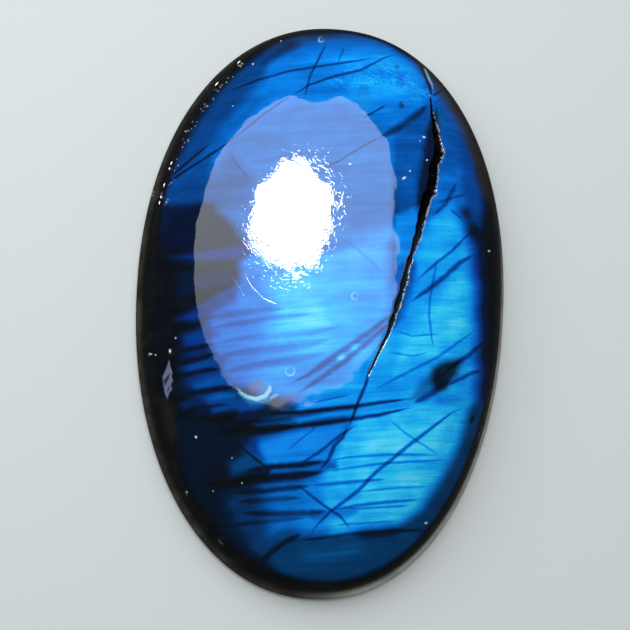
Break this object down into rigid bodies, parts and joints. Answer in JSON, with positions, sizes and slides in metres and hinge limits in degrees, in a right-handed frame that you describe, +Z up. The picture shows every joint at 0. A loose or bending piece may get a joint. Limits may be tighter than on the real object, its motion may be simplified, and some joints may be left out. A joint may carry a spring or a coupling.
{
  "type": "oval labradorite cabochon",
  "caption": "Polished oval labradorite cabochon with a low dome, a leaning side wall, a flat back and an open fissure, for setting or display.",
  "frame": {"origin": "under the middle of the stone, on the plane of its flat back", "axes": "+Z up through the dome, +Y along the oval's long axis towards its blunter end, +X across it"},
  "size_m": [0.0236, 0.037, 0.007],
  "materials": {
    "labradorite": "glassy polish over a blue flash, near black at the rim"
  },
  "bodies": {
    "root": {"cabochon": "labradorite"}
  },
  "joints": []
}
